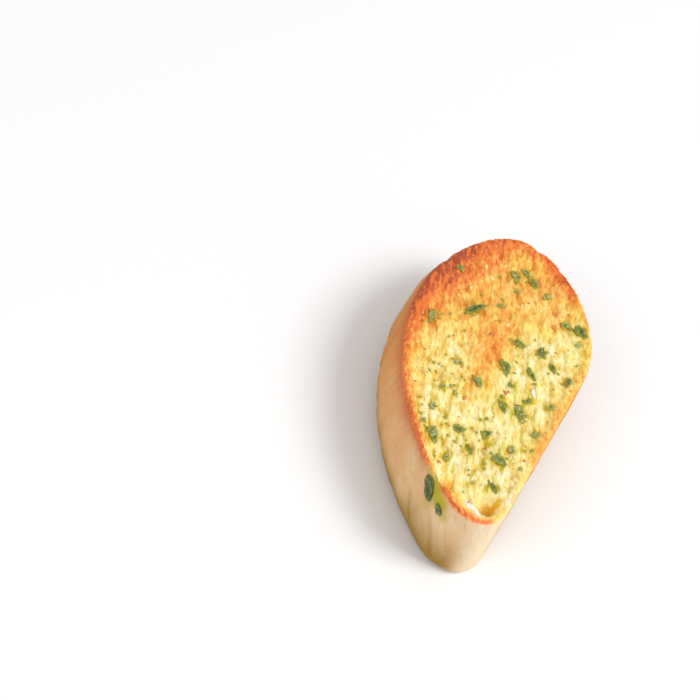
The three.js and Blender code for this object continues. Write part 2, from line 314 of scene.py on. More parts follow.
def press_hollows(x, y, found):
    """Depth of the hollows at each point."""
    depth = np.zeros(len(x))
    for hx, hy, radius, deepest, turn, stretch in found:
        away, _ = along_grain(x - hx, y - hy, turn, stretch)
        depth = np.maximum(depth, deepest * bump(away, radius))
    return depth


def press_pores(x, y, pores):
    """Depth of the pores at each point. Each pore is a lopsided bowl: x, y, radius, depth, phase."""
    depth = np.zeros(len(x))
    for px, py, radius, deep, phase in pores:
        reach = 1.3 * pore_stretch * radius
        near = np.flatnonzero((np.abs(x - px) < reach) & (np.abs(y - py) < reach))
        turn = grain_turn + 0.25 * math.sin(phase)
        away, around = along_grain(x[near] - px, y[near] - py, turn, pore_stretch)
        away *= 1 + 0.16 * np.sin(3 * around + phase) + 0.08 * np.sin(5 * around - 2 * phase)
        bowl = deep * np.clip(1 - (away / radius) ** 2, 0, 1) ** 0.8
        depth[near] = np.maximum(depth[near], bowl)
    return depth


def scatter_pores(seed, count, smallest, largest):
    """Pores all over the face, most of them small."""
    draw = random.Random(seed)
    pores = []
    while len(pores) < count:
        px = draw.uniform(-face_length / 2, face_length / 2)
        py = draw.uniform(-face_height / 2, face_height / 2)
        size = draw.random() ** 2.4
        radius = smallest + (largest - smallest) * size
        pores.append((px, py, radius, radius * draw.uniform(*pore_depth), draw.uniform(0, 6.28)))
    return pores


def grain_noise(x, y, size, stretch, octaves):
    """Noise in lumps of a size in millimetres, drawn out along the grain of the crumb."""
    along = (x * math.cos(grain_turn) + y * math.sin(grain_turn)) / (size * stretch)
    across = (y * math.cos(grain_turn) - x * math.sin(grain_turn)) / size
    return np.array([noise.fractal((a, b, 0.5), 0.7, 2.1, octaves) for a, b in zip(along, across)])


def crumb_waves(x, y):
    """Low waves of the torn crumb: slow ones about 25 mm long and quick ones about 7."""
    slow = np.sin(x * 0.21 + 1.3) * np.cos(y * 0.27 + 0.4)
    quick = np.sin(x * 0.83 - y * 0.41) * np.sin(y * 0.94 + x * 0.36 + 2.1)
    return crumb_uneven * (0.6 * slow + 0.5 * quick)


face = points[on_face]
face_x, face_y = face[:, 0], face[:, 1]
inward = distance_to_rim(face_x, face_y)
lip_x, lip_y, lip_reach, more_rise = end_lip
rise = lip_rise + more_rise * bump(np.hypot(face_x - lip_x, face_y - lip_y), lip_reach)
lip = rise * fade(np.maximum(0, inward - rim_round), lip_width)
sag = crumb_sag * smoothstep(inward, rim_round, crumb_sag_reach)
all_hollows = scatter_hollows()
hollows = press_hollows(face_x, face_y, all_hollows)
pit = smoothstep(press_hollows(face_x, face_y, all_hollows[:2]), 0.1, 1.0)  # in the deep hollow
small_pores = press_pores(face_x, face_y, scatter_pores(*small_pore_kind))
open_pores = press_pores(face_x, face_y, scatter_pores(*open_pore_kind))
pores = np.maximum(small_pores, open_pores)
grit = grain_noise(face_x, face_y, grit_size, grit_stretch, 4)
ridge_away = distance_to_line(face_x, face_y, *hollow_ridge) * (1 + 0.9 * grit)
ridge = fade(ridge_away, ridge_width)

# The relief dies out at the rim. Pores and grit are weaker there, in the deep hollow and on
# its ridge.
quiet = smoothstep(inward, rim_round, rim_round + 3)
pore_share = (0.4 + 0.6 * quiet) * (1 - 0.8 * np.maximum(pit, ridge))
relief = quiet * (crumb_waves(face_x, face_y) - hollows) - chip_depth(face_x, face_y)
relief += pore_share * (grit_relief * grit - pore_relief * pores) + ridge_rise * ridge
face[:, 2] = thickness - lip_rise + lip - sag + relief
points[on_face] = face


# The crust: it swells between the two sawn faces, most on the dome, and has low ripples and
# lumps, and two shallow creases by the narrow end.

foot_swell = 0.35  # the part of the dome's bulge that is kept below its widest place
slant = (0.16, 0.33)  # how far the crust's grain leans, for each millimetre of height
skin_scale = (0.22, 0.22, 0.07)  # of the crust's low lumps, which are drawn out upwards
skin_relief = 0.26
crag_scale = 0.6
crag_relief = 0.4  # along the toasted edge
crag_reach = 1.2
fold_depth = 0.28
fold_width = 0.9
creases = [  # height, and x and y of the rim above, from the foot up
    ((3.3, -56.3, -16.8), (13.1, -55.5, -14.6), (20.1, -53.6, -11.3)),
    ((6.0, -49.9, -6.6), (12.0, -48.3, -4.6), (18.0, -46.4, -2.4)),
]

wall = points[on_wall]
wall_turn = np.arctan2(wall[:, 1] / face_height, wall[:, 0] / face_length)
wall_rim, wall_out = rim_at(wall_turn)
ring = np.arange(wall_count) // ring_count
drop, inside = np.array(steps)[ring].T
wall_height = thickness - drop
share = wall_height / thickness
reach = np.where(share < bulge_peak, bulge_peak, 1 - bulge_peak)
swell = 1 - ((share - bulge_peak) / reach) ** 2
dome = dome_bulge * np.maximum(0, wall_out[:, 1])
ends = end_bulge * np.abs(wall_out[:, 0])
around = np.arctan2(wall_rim[:, 1], wall_rim[:, 0])
ripple = np.sin(around * 23 + 0.8 * np.sin(share * 3)) * np.sin(around * 7.3 + 1)
leaning = wall_rim - wall_height[:, None] * slant
low_side = np.where(share < bulge_peak, foot_swell * (bulge_peak - share) * dome, 0)
dent = chip_dent * chip_depth(wall_rim[:, 0], wall_rim[:, 1]) * share**4
stand = (dome + ends) * swell + low_side + crust_uneven * ripple * swell - inside - dent
skin_places = np.column_stack([leaning, wall_height]) * skin_scale
stand += skin_relief * swell * np.array([noise.fractal(place, 0.8, 2, 4) for place in skin_places])
crag_places = np.column_stack([wall_rim * crag_scale, np.full(wall_count, 3.0)])
crags = np.array([noise.fractal(place, 0.5, 2, 4) for place in crag_places])
stand += crag_relief * crags * np.exp(-drop / crag_reach)
fold = np.zeros(wall_count)
for crease in creases:
    fold_height, fold_x, fold_y = np.array(crease).T
    away = np.hypot(wall_rim[:, 0] - np.interp(wall_height, fold_height, fold_x),
                    wall_rim[:, 1] - np.interp(wall_height, fold_height, fold_y))
    run = smoothstep(wall_height, fold_height[0] - 1, fold_height[0] + 3)
    run *= 1 - smoothstep(wall_height, fold_height[-1] - 3, fold_height[-1] + 1)
    fold = np.maximum(fold, run * fade(away, fold_width))
stand -= fold_depth * fold
wall[:, :2] = wall_rim + stand[:, None] * wall_out
wall[:, 2] = wall_height - chip_depth(wall_rim[:, 0], wall_rim[:, 1]) * share**3
points[on_wall] = wall


# The face below: plain crumb with wider pores, flat where it lies.

under = points[on_base]
under_inward = distance_to_rim(under[:, 0], under[:, 1])
under_pores = press_pores(under[:, 0], under[:, 1], scatter_pores(*base_pore_kind))
under[:, 2] = smoothstep(under_inward, base_round, base_round + 2) * under_pores
points[on_base] = under

points[:, :2] -= outline_middle
write_points(bread, points * mm)


def give_values(piece, name, values):
    attribute = piece.data.attributes.new(name, "FLOAT", "POINT")
    attribute.data.foreach_set("value", values)


# How brown each place is: a rim band that is widest at the dome and the wide end, and soft
# patches where the slice lay nearest the grill.

dark_edge = 0.3  # how much browner the very edge of the dome's rim is
dark_edge_width = 1.6
rim_band = [  # angle round the middle in degrees, width of the brown band, how brown
    (-180, 1.5, 0.80),
    (-176, 1.4, 0.66),
    (-172, 1.2, 0.34),
    (-165, 1.2, 0.22),
    (-161, 2.0, 0.50),
    (-158, 2.8, 0.82),
    (-150, 3.0, 0.80),
    (-143, 2.9, 0.74),
    (-137, 2.8, 0.66),
    (-133, 2.4, 0.25),
    (-129, 2.0, 0.04),
    (-120, 2.4, 0.20),
    (-108, 3.2, 0.44),
    (-84, 3.2, 0.42),
    (-72, 2.6, 0.24),
    (-60, 2.6, 0.28),
    (-36, 3.2, 0.38),
    (-24, 3.8, 0.72),
    (-12, 4.8, 0.78),
    (0, 5.0, 0.72),
    (12, 4.6, 0.62),
    (24, 6.4, 0.68),
    (36, 7.6, 0.68),
    (48, 8.0, 0.76),
    (60, 8.0, 0.90),
    (72, 6.8, 0.84),
    (84, 6.0, 0.80),
    (96, 3.8, 0.78),
    (108, 3.0, 0.66),
    (120, 2.4, 0.62),
    (132, 2.0, 0.66),
    (144, 1.6, 0.76),
    (156, 1.6, 0.82),
    (168, 1.8, 0.84),
    (180, 1.5, 0.80),
]
brown_patches = [  # x, y, reach along and across the loaf, how brown
    (5, 0.5, 10, 6.5, 0.30),
    (15, 2, 11, 7, 0.24),
    (-8, -1.5, 9, 4.5, 0.26),
    (36, 4, 20, 16, 0.3),
    (44, -8, 12, 12, 0.1),
    (24, 20, 26, 10, 0.24),
    (-5, 17, 16, 7, 0.05),
    (-52, -13, 2.4, 4, 0.16),
    (-22, 15, 12, 5, 0.14),
    (-37, 4, 7, 6, 0.12),
    (8, -26, 15, 3.5, 0.12),
    (-18, -27, 12, 3, 0.10),
    (32, -12, 7, 4, 0.20),
]
drip = [  # butter run down the crust from the chipped rim: x and y of the rim, height, reach, how green
    (-48.4, -4.9, 28.2, 3.2, 0.5),
    (-49.7, -6.4, 27.8, 3.8, 0.8),
    (-51.0, -7.9, 26.8, 4.2, 0.9),
    (-52.1, -9.3, 26.0, 4.4, 1.0),
    (-53.4, -11.0, 25.4, 4.4, 1.0),
    (-54.4, -12.6, 25.6, 3.8, 0.9),
    (-55.4, -14.4, 23.3, 3.4, 0.5),
    (-51.6, -8.6, 20.6, 3.6, 0.4),
]
bare_spot = (-44, -29.4, 3.4, 0.5)  # crumb torn bare on the low rim: x, y, reach, how bare
bare_base = 0.6  # the crumb below is plain and has no butter


def on_dome(angle):
    """1 along the part of the dome that was nearest the grill and 0 elsewhere, by angle in degrees."""
    return smoothstep(angle, 36, 54) * (1 - smoothstep(angle, 78, 94))


def toast_on_face(x, y, inward):
    angle = np.degrees(np.arctan2(y / face_height, x / face_length))
    angles, widths, browns = np.array(rim_band).T
    width = np.interp(angle, angles, widths) * (1 + 0.4 * grain_noise(x, y, 3, 1.5, 3))
    brown = np.interp(angle, angles, browns) * np.exp(-((inward / width) ** 1.6))
    brown += dark_edge * on_dome(angle) * fade(inward - rim_round, dark_edge_width)
    for px, py, along, across, amount in brown_patches:
        brown += amount * np.exp(-(((x - px) / along) ** 2) - ((y - py) / across) ** 2)
    return brown


toast, pore, crust, butter, baked, painted_foot_shade, scorch, bare_crumb_and_ridge_highlight = np.zeros((8, len(points)))
toast[on_face] = toast_on_face(face_x, face_y, inward)
pore[on_face] = np.clip(pores / 0.45 + hollows / 2, 0, 1) * (1 - pit)
pore[on_base] = np.clip(under_pores / 0.9, 0, 1)
pool_x, pool_y, pool_radius = pool_end
pool = fade(distance_to_line(face_x, face_y, *butter_pool), pool_width)
pool = np.maximum(pool, fade(np.hypot(face_x - pool_x, face_y - pool_y), pool_radius))
butter[on_face] = np.maximum(0.5 * pit, np.clip(pool * (1 + 0.5 * grit), 0, 1))
bare_x, bare_y, bare_reach, how_bare = bare_spot
bare = how_bare * bump(np.hypot(face_x - bare_x, face_y - bare_y), bare_reach)
# The ridge's white is a painted highlight; the torn spot on the low rim is bare crumb.
bare_crumb_and_ridge_highlight[on_face] = np.maximum(ridge, bare)
bare_crumb_and_ridge_highlight[on_base] = bare_base

# The crust is browner towards the loaf's wide end and red brown just below the toasted rim.
# Painted shade makes it darker gold towards its foot and in its creases, and a painted highlight
# makes the corner by the narrow end and the flat bottom the palest.

wall_angle = np.degrees(wall_turn)
angles, _, browns = np.array(rim_band).T
to_narrow_end, to_bottom = -wall_rim.T  # millimetres from the middle
near_tip = smoothstep(to_narrow_end, 44, 50)
# Painted highlight: the corner by the narrow end and the flat bottom is painted paler, where the light
# falls.
painted_lit_corner = smoothstep(to_narrow_end, 30, 54) * smoothstep(to_bottom, 20, 27)
flat_side = smoothstep(-wall_out[:, 1], 0.5, 0.9)
ragged_drop = drop * (1 + 0.3 * crags)
browned_drop = 0.8 - 0.35 * near_tip + 0.4 * on_dome(wall_angle)
crust[on_wall] = 1 - fade(ragged_drop, browned_drop)
toast[on_wall] = np.interp(wall_angle, angles, browns) + dark_edge * on_dome(wall_angle)
# The crust is painted less baked in the lit corner, a painted highlight.
baked[on_wall] = 0.26 + 0.6 * np.clip((50 - to_narrow_end) / 48, 0, 1) - 0.25 * painted_lit_corner
# Painted shade: darker gold towards the foot and in the creases, less in the lit corner.
foot = 1 - smoothstep(wall_height, 1, 14 + 9 * near_tip)
painted_foot_shade[on_wall] = np.clip(foot * (1 - painted_lit_corner) + 0.25 * fold, 0, 1)
scorch_reach = 3.6 - 1.4 * smoothstep(to_narrow_end, 28, 46)
scorch[on_wall] = (1 - near_tip) * (1 - 0.6 * flat_side) * fade(ragged_drop, scorch_reach)
bread_values = {"toast": toast, "pore": pore, "crust": crust, "butter": butter,
                "baked": baked, "painted_foot_shade": painted_foot_shade, "scorch": scorch, "bare_crumb_and_ridge_highlight": bare_crumb_and_ridge_highlight}
for name, values in bread_values.items():
    give_values(bread, name, values)


def linear(*code):
    """A colour given as screen values from 0 to 255."""
    channels = [value / 255 for value in code]
    return [c / 12.92 if c < 0.04045 else ((c + 0.055) / 1.055) ** 2.4 for c in channels] + [1]


class Finish:
    """A material and short ways to add nodes to it."""

    def __init__(self, name):
        self.material = bpy.data.materials.new(name)
        self.material.use_nodes = True
        self.tree = self.material.node_tree
        self.shader = self.tree.nodes["Principled BSDF"]
        self.place = self.add("ShaderNodeTexCoord").outputs["Object"]

    def add(self, kind, **settings):
        node = self.tree.nodes.new(kind)
        for name, value in settings.items():
            setattr(node, name, value)
        return node

    def join(self, start, end):
        self.tree.links.new(start, end)

    def value(self, name):
        return self.add("ShaderNodeAttribute", attribute_name=name).outputs["Fac"]

    def fill(self, sockets, items):
        """Sets each socket to a plain value, or joins another node to it."""
        for socket, item in zip(sockets, items):
            if isinstance(item, (int, float, list)):
                socket.default_value = item
            else:
                self.join(item, socket)

    def math(self, operation, first, second, clamp=False):
        node = self.add("ShaderNodeMath", operation=operation, use_clamp=clamp)
        self.fill(node.inputs, (first, second))
        return node.outputs[0]

    def spread(self, value, amount):
        """A noise value, turned into one that swings about 0."""
        return self.math("MULTIPLY", self.math("SUBTRACT", value, 0.5), amount)

    def above(self, value, level, slope):
        """How far a value is above a level, from 0 to 1."""
        return self.math("MULTIPLY", self.math("SUBTRACT", value, level), slope, clamp=True)

    def drawn_out(self, stretch, turn):
        """The place on the piece, for a pattern drawn out along a direction."""
        mapping = self.add("ShaderNodeMapping", vector_type="TEXTURE")
        mapping.inputs["Scale"].default_value = stretch
        mapping.inputs["Rotation"].default_value = turn
        self.join(self.place, mapping.inputs["Vector"])
        return mapping.outputs[0]

    def noise(self, scale, detail=4, rough=0.6, stretch=(1, 1, 1), turn=(0, 0, 0)):
        node = self.add("ShaderNodeTexNoise")
        node.inputs["Scale"].default_value = scale
        node.inputs["Detail"].default_value = detail
        node.inputs["Roughness"].default_value = rough
        self.join(self.drawn_out(stretch, turn), node.inputs["Vector"])
        return node.outputs["Fac"]

    def cells(self, scale, stretch, turn):
        """Small bubbles: 0 on the walls between them and 1 in their middles."""
        node = self.add("ShaderNodeTexVoronoi", feature="DISTANCE_TO_EDGE")
        node.inputs["Scale"].default_value = scale
        self.join(self.drawn_out(stretch, turn), node.inputs["Vector"])
        return self.math("MULTIPLY", node.outputs["Distance"], 4.5, clamp=True)

    def ramp(self, factor, *stops):
        node = self.add("ShaderNodeValToRGB")
        ramp = node.color_ramp
        while len(ramp.elements) < len(stops):
            ramp.elements.new(0.5)
        for element, (position, color) in zip(ramp.elements, stops):
            element.position = position
            element.color = color
        self.join(factor, node.inputs["Fac"])
        return node.outputs["Color"]

    def mix(self, factor, first, second, blend="MIX"):
        node = self.add("ShaderNodeMix", data_type="RGBA", blend_type=blend, clamp_result=False)
        factor_and_colors = (node.inputs[0], node.inputs[6], node.inputs[7])
        self.fill(factor_and_colors, (factor, first, second))
        return node.outputs[2]

    def soft(self, weight, radius, scale):
        """Lets light a little way in: how much, how far for each colour, and the scale in metres."""
        self.shader.inputs["Subsurface Weight"].default_value = weight
        self.shader.inputs["Subsurface Radius"].default_value = radius
        self.shader.inputs["Subsurface Scale"].default_value = scale

    def rough_surface(self, height, strength, distance):
        node = self.add("ShaderNodeBump")
        node.inputs["Strength"].default_value = strength
        node.inputs["Distance"].default_value = distance
        self.join(height, node.inputs["Height"])
        self.join(node.outputs[0], self.shader.inputs["Normal"])


def bread_finish():
    finish = Finish("toasted_bread")
    toast = finish.value("toast")
    pore = finish.value("pore")
    crust = finish.value("crust")
    butter = finish.value("butter")
    herb = finish.value("herb")
    grain = (0, 0, grain_turn)
    blotches = finish.noise(260, 3, 0.55, (2.2, 1, 1), grain)
    flecks = finish.noise(900, 3, 0.6, (3, 1, 1), grain)
    bubbles = finish.cells(560, (2.8, 1, 1), grain)
    clouds = finish.noise(70, 3, 0.5)
    calm = finish.math("ADD", 0.6, finish.spread(finish.noise(160, 2, 0.5), 1.8), clamp=True)

    # Each bubble of the crumb is pale in its middle and golden along its edge.
    uneven = finish.math("ADD", finish.spread(flecks, 1.2), finish.spread(bubbles, -0.26))
    uneven = finish.math("MULTIPLY", uneven, calm)
    uneven = finish.math("ADD", uneven, finish.spread(blotches, 0.9))
    granules = finish.noise(760, 3, 0.7, (1.4, 1, 1), grain)
    granules = finish.math("MULTIPLY", finish.spread(granules, 3.6), toast)
    uneven = finish.math("ADD", uneven, granules)
    strength = finish.math("ADD", 0.28, finish.math("MULTIPLY", toast, 0.16))
    browned = finish.math("MULTIPLY", finish.math("ADD", toast, 0.19), 0.8)
    browned = finish.math("ADD", browned, finish.math("MULTIPLY", uneven, strength))
    crumb = finish.ramp(
        browned,
        (0.0, linear(255, 252, 230)),
        (0.14, linear(254, 244, 198)),
        (0.28, linear(253, 230, 148)),
        (0.44, linear(252, 198, 100)),
        (0.62, linear(248, 150, 72)),
        (0.74, linear(236, 124, 60)),
        (0.84, linear(214, 106, 54)),
        (1.0, linear(170, 78, 44)),
    )
    soaked = finish.ramp(
        browned,
        (0.0, linear(240, 216, 108)),
        (0.28, linear(240, 196, 82)),
        (0.46, linear(232, 152, 58)),
        (0.66, linear(208, 102, 44)),
        (0.84, linear(160, 68, 38)),
    )
    crumb = finish.mix(finish.math("MULTIPLY", finish.math("POWER", pore, 1.5), 0.9), crumb, soaked)
    yellow = finish.math("ADD", finish.spread(clouds, 2.4), 0.3, clamp=True)
    crumb = finish.mix(yellow, crumb, linear(250, 246, 182), "MULTIPLY")

    # Butter green with parsley has sunk into slits of the crumb.
    slits = finish.above(finish.noise(520, 2, 0.5, (3.4, 1, 1), grain), 0.52, 7)
    pale = finish.math("SUBTRACT", 1.0, finish.math("MULTIPLY", toast, 2.2), clamp=True)
    stained = finish.math("MULTIPLY", slits, finish.math("ADD", herb, finish.math("MULTIPLY", pale, 0.62)))
    stained = finish.math("ADD", stained, finish.math("POWER", herb, 2.0), clamp=True)
    puddles = finish.above(finish.noise(250, 2, 0.5, (1.8, 1, 1), grain), 0.54, 5)
    puddles = finish.math("MULTIPLY", puddles, finish.math("MULTIPLY", herb, 0.7))
    stained = finish.math("ADD", stained, puddles, clamp=True)
    crumb = finish.mix(stained, crumb, linear(204, 197, 46), "MULTIPLY")

    # Between the slits the tops of the crumb get a near white painted highlight, and small pits and scorched
    # slits are darker.
    lumps = finish.above(finish.noise(380, 2, 0.5, (1.7, 1, 1), grain), 0.56, 7)
    lumps = finish.math("MULTIPLY", lumps, finish.math("ADD", herb, 0.25, clamp=True))
    lumps = finish.math("MULTIPLY", lumps, finish.math("MULTIPLY", pale, 0.6))
    crumb = finish.mix(lumps, crumb, linear(254, 248, 218))
    pits = finish.above(finish.noise(1000, 2, 0.5, (2, 1, 1), grain), 0.62, 9)
    crumb = finish.mix(finish.math("MULTIPLY", pits, 0.8), crumb, linear(216, 172, 70), "MULTIPLY")
    scorched = finish.math("MULTIPLY", slits, finish.math("MULTIPLY", toast, 1.4), clamp=True)
    crumb = finish.mix(scorched, crumb, linear(226, 118, 48))

    # Butter stands in the deep hollow. The torn ridge beside it is painted white as a painted highlight, and
    # bare crumb is white too.
    crumb = finish.mix(finish.math("MULTIPLY", butter, 2.0, clamp=True), crumb, linear(248, 222, 144))
    crumb = finish.mix(finish.above(butter, 0.5, 2.4), crumb, linear(230, 172, 36))
    crumb = finish.mix(finish.value("bare_crumb_and_ridge_highlight"), crumb, linear(255, 250, 236))

    # The crust has a grain of fine streaks that lean like its lumps.
    lean = (-0.31, 0.16, 0)
    tan = finish.noise(90, 4, 0.6, (1, 1, 2.2), lean)
    mottle = finish.noise(330, 3, 0.6, (1, 1, 1.6), lean)
    streaks = finish.noise(500, 4, 0.65, (1, 1, 7), lean)
    specks = finish.noise(1300, 2, 0.6)
    shade = finish.value("baked")
    for pattern, amount in ((tan, 0.5), (mottle, 0.24), (streaks, 0.4), (specks, 0.16)):
        shade = finish.math("ADD", shade, finish.spread(pattern, amount))
    side = finish.ramp(
        shade,
        (0.0, linear(240, 218, 182)),
        (0.35, linear(224, 180, 130)),
        (0.7, linear(218, 152, 88)),
        (1.0, linear(204, 130, 62)),
    )
    # Painted shade towards the foot and in the creases, in dark gold.
    side = finish.mix(finish.math("MULTIPLY", finish.value("painted_foot_shade"), 0.95), side, linear(152, 112, 20))
    side = finish.mix(finish.math("MULTIPLY", finish.value("scorch"), 0.85), side, linear(204, 102, 58))
    dripped = finish.math("MULTIPLY", finish.math("MULTIPLY", herb, 1.3, clamp=True), crust)
    side = finish.mix(dripped, side, linear(188, 172, 44))
    color = finish.mix(crust, crumb, side)
    finish.join(color, finish.shader.inputs["Base Color"])

    rough = finish.math("SUBTRACT", 0.6, finish.math("MULTIPLY", butter, 0.35))
    rough = finish.math("ADD", rough, finish.math("MULTIPLY", crust, 0.25))
    finish.join(rough, finish.shader.inputs["Roughness"])
    finish.shader.inputs["Specular IOR Level"].default_value = 0.3
    finish.soft(0.25, (1.0, 0.6, 0.3), 0.0012)
    bubbly = finish.math("ADD", flecks, finish.math("MULTIPLY", bubbles, 0.6))
    skin = finish.math("ADD", finish.math("MULTIPLY", streaks, 0.9), finish.math("MULTIPLY", specks, 0.45))
    skin = finish.math("ADD", skin, mottle)
    height = finish.math("MULTIPLY", bubbly, finish.math("SUBTRACT", 1.0, crust))
    height = finish.math("ADD", height, finish.math("MULTIPLY", skin, finish.math("MULTIPLY", crust, 1.5)))
    finish.rough_surface(height, 0.45, 0.0004)
    return finish.material


bread.data.materials.append(bread_finish())
bpy.ops.object.select_all(action="DESELECT")
bread.select_set(True)
bpy.context.view_layer.objects.active = bread
bpy.ops.object.shade_smooth()
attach(bread, "root")
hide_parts("garlic_bread_slice")


# ---------------------------------------------------------------- parsley
# Flat-leaf parsley, chopped and stirred into the butter, so it lies pressed into the crumb:
# torn bits of leaf, thin shreds and a dust of smaller ones. Each bit is a thin wavy sheet,
# modelled once in a few shapes, copied, bent onto the bread and given its thickness.

main_parsley = [  # x, y, length, width, turn in degrees, tone from dark green to pale olive
    (19, 11.7, 9.0, 2.2, -30, 0.15),
    (41, 6.6, 5.0, 2.2, -141, 0.6),
    (44.6, 4.0, 4.0, 2.0, -110, 0.5),
    (42.4, 0.2, 4.4, 2.0, -133, 0.5),
    (6.8, 22.0, 6.0, 1.8, -167, 0.6),
    (32.4, -21.2, 5.8, 3.0, -120, 0.35),
    (32.6, -15.8, 3.0, 1.8, -51, 0.7),
    (15.2, -6.5, 4.0, 2.4, -100, 0.4),
    (16.4, -14.0, 4.4, 2.2, -141, 0.3),
    (3.2, -6.6, 6.0, 2.8, -140, 0.4),
    (12.9, -19.6, 3.6, 1.5, -132, 0.35),
    (6.3, -14.6, 5.2, 1.5, -129, 0.4),
    (10.9, -26.0, 3.4, 1.5, -157, 0.35),
    (-7.5, -1.6, 4.8, 1.9, -125, 0.65),
    (-4.6, -18.0, 3.2, 1.6, -38, 0.4),
    (-11.6, -12.2, 5.2, 1.6, -134, 0.5),
    (-10.6, -18.0, 6.8, 2.6, -145, 0.6),
    (-28.4, -4.6, 3.8, 2.4, -83, 0.45),
    (-35.2, 1.1, 6.4, 2.8, -141, 0.65),
    (-24.4, -12.6, 4.0, 2.2, -16, 0.5),
    (-32.6, -10.4, 4.0, 1.5, -141, 0.3),
    (-31.0, -19.9, 5.2, 3.0, -110, 0.5),
    (-41.1, -22.5, 4.0, 1.7, -120, 0.3),
]
wall_parsley = [  # x, y, height, length, width, turn down the wall, tone
    (-50.2, -7.0, 24.0, 8.0, 3.4, -41, 0.15),
    (-54.4, -12.6, 23.6, 3.8, 2.2, -25, 0.3),
]
main_garlic = [  # x, y, length, width, turn in degrees
    (-0.3, -18.4, 4.8, 1.6, -150),
    (35.1, 12.8, 2.8, 1.6, -120),
    # near white, on the deep hollow's ridge: a painted highlight
    (-52.3, -21.0, 4.4, 1.3, -115),
]
scatter_reach = 0.88  # as a share of the way from the middle to the rim
scatter_gap = 0.5
small_parsley_kind = (31, 14, 1.8, 2.8)  # seed, count, smallest and largest
small_garlic_kind = (32, 9, 1.6, 2.4)
leaf_thickness = 0.28
leaf_cells = (12, 8)
small_leaf_cells = (6, 4)
leaf_curl = 0.8  # as a share of the flake's width
leaf_follow = 0.8  # how closely a flake follows the crumb
leaf_lift = 0.2
wall_leaf_curl = 0.5
wall_leaf_lift = 0.3
stain_margin = 2.2  # how far the green butter reaches round a flake
crumb_stain_margin = 1.6
leaf_crumb_count = 90
leaf_crumb_reach = 0.93
deep_hollow_clear = 6.5
ray_start = 8  # how far outside the bread its surface is looked for
largest_bend = 1


def scatter(seed, count, smallest, largest, taken):
    """Places well inside the rim and clear of what lies there already."""
    draw = seeded_draw(seed)
    spots = []
    while len(spots) < count:
        rim, _ = rim_at(np.array([between(draw, -math.pi, math.pi)]))
        x, y = rim[0] * math.sqrt(next(draw)) * scatter_reach
        size = between(draw, smallest, largest)
        turn = between(draw, 0, 360)
        gaps = [math.hypot(other[0] - x, other[1] - y) - other[2] - size / 2 for other in taken]
        if min(gaps) >= scatter_gap:
            spots.append((x, y, size, 0.6 * size, turn))
            taken.append((x, y, size / 2))
    return spots


taken = [(bit[0], bit[1], bit[2] / 2) for bit in main_parsley + main_garlic]
scattered_parsley = scatter(*small_parsley_kind, taken)
scattered_garlic = scatter(*small_garlic_kind, taken)


def model_leaf_bit(name, seed, cells, ragged):
    """A torn bit of leaf, one unit long and wide: a small round grid, ragged and waved."""
    draw = random.Random(seed)
    bit, points = add_round_grid(cells)
    bit.name = name
    x, y = points[:, 0], points[:, 1]
    around = np.arctan2(y, x)
    reach = np.hypot(x, y)
    lobes = np.sin(3 * around + draw.uniform(0, 6)) + 0.7 * np.sin(7 * around + draw.uniform(0, 6))
    nicks = np.array([draw.uniform(-0.6, 0.4) for _ in points])
    reach_out = 1 + ragged * (0.18 * lobes + 0.12 * nicks) * reach**2
    points[:, 2] = 0.1 * np.sin(5 * x + draw.uniform(0, 6)) * np.cos(3 * y + draw.uniform(0, 6))
    points[:, 2] += 0.12 * np.abs(y) - 0.04
    points[:, :2] *= 0.5 * reach_out[:, None]
    write_points(bit, points)
    give_values(bit, "fringe", ragged * reach**3)
    return bit


def surface_below(start, direction):
    """The bread's surface in slice millimetres, met from a point outside it."""
    place = Vector(((start[0] - outline_middle[0]) * mm, (start[1] - outline_middle[1]) * mm, start[2] * mm))
    hit, location, _, _ = bread.ray_cast(place, Vector(direction))
    if not hit:
        return None
    return np.array(location) / mm + np.array([*outline_middle, 0])


def lay_on_bread(piece, spot, axes, size, follow, lift):
    """Scales a unit piece to its size in mm and bends it onto the bread at a spot."""
    along, across, out = axes
    points = read_points(piece)
    flat = spot + points[:, :1] * size[0] * along + points[:, 1:2] * size[1] * across
    heights = []
    for place in flat:
        met = surface_below(place + ray_start * out, -out)
        heights.append(0 if met is None else float((met - place) @ out))
    heights = np.array(heights)
    middle = np.median(heights)
    heights = middle + follow * np.clip(heights - middle, -largest_bend, largest_bend)
    laid = flat + (heights + points[:, 2] * size[2] + lift)[:, None] * out
    laid[:, :2] -= outline_middle
    write_points(piece, laid * mm)


def lay_on_face(piece, x, y, turn, size, follow, lift):
    """Lays a unit piece on the toasted face, turned by an angle in degrees."""
    turn = math.radians(turn)
    along = np.array([math.cos(turn), math.sin(turn), 0])
    across = np.array([-math.sin(turn), math.cos(turn), 0])
    axes = (along, across, np.array([0.0, 0.0, 1.0]))
    lay_on_bread(piece, np.array([x, y, thickness]), axes, size, follow, lift)


def wall_axes(x, y, turn):
    _, out = rim_at(np.array([math.atan2(y / face_height, x / face_length)]))
    out = np.array([*out[0], 0])
    up = np.array([0.0, 0.0, 1.0])
    level = np.cross(up, out)
    turn = math.radians(turn)
    along = math.cos(turn) * level + math.sin(turn) * up
    return along, np.cross(out, along), out


def copy_piece(master, **values):
    """A copy of a small piece, with named values for its finish."""
    piece = master.copy()
    piece.data = master.data.copy()
    bpy.context.scene.collection.objects.link(piece)
    for name, value in values.items():
        give_values(piece, name, np.full(len(piece.data.vertices), value))
    return piece


def join_pieces(pieces, name):
    bpy.ops.object.select_all(action="DESELECT")
    for piece in pieces:
        piece.select_set(True)
    bpy.context.view_layer.objects.active = pieces[0]
    bpy.ops.object.join()
    joined = bpy.context.object
    joined.name = name
    bpy.ops.object.shade_smooth()
    return joined


